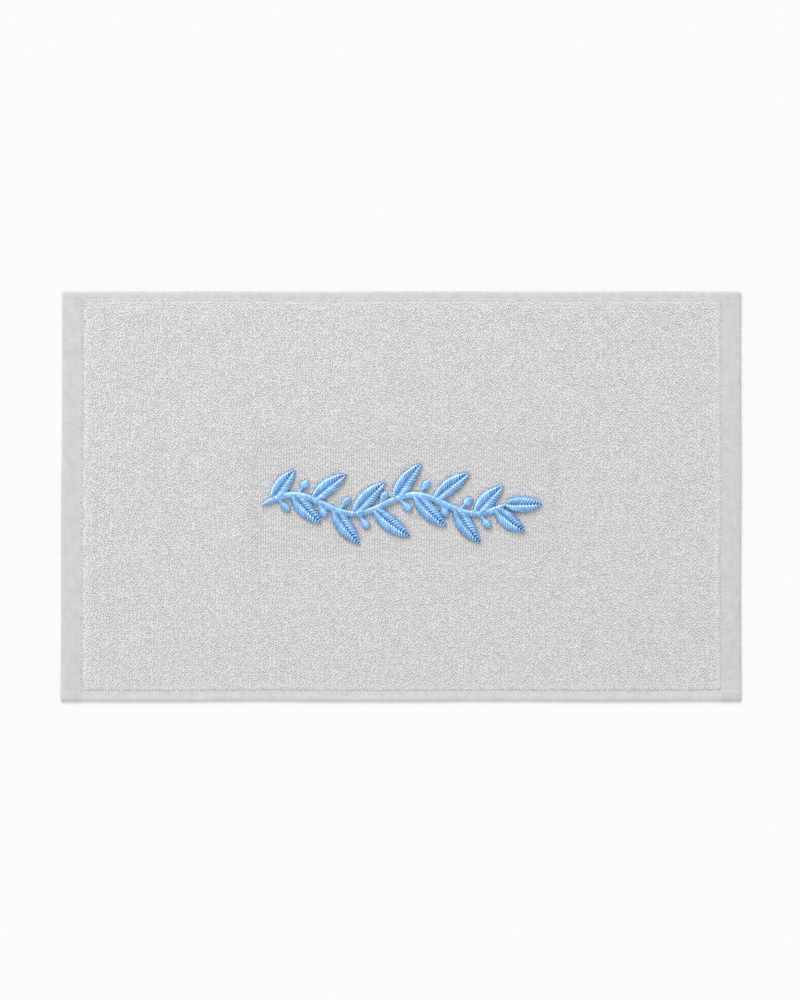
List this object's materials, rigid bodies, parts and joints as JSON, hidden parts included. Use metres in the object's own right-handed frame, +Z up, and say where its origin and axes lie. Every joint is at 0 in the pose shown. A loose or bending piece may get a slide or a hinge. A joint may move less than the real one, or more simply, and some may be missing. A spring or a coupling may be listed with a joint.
{
  "type": "hand towel",
  "caption": "Flat rectangular cotton terry hand towel with plain woven hems on all sides and a raised embroidered leaf sprig in the middle.",
  "frame": {"origin": "middle of the underside, on the surface that the towel lies on", "axes": "+X along the towel's long side, +Y along its short side towards the narrower side hem, +Z up out of the embroidered face"},
  "size_m": [0.5006, 0.3024, 0.0059],
  "materials": {
    "terry": "pale grey cotton terry with looped pile and flat plain woven hems",
    "thread": "sky-blue satin-stitch thread with a soft sheen"
  },
  "bodies": {
    "root": {"towel": "terry", "embroidery": "thread"}
  },
  "joints": []
}
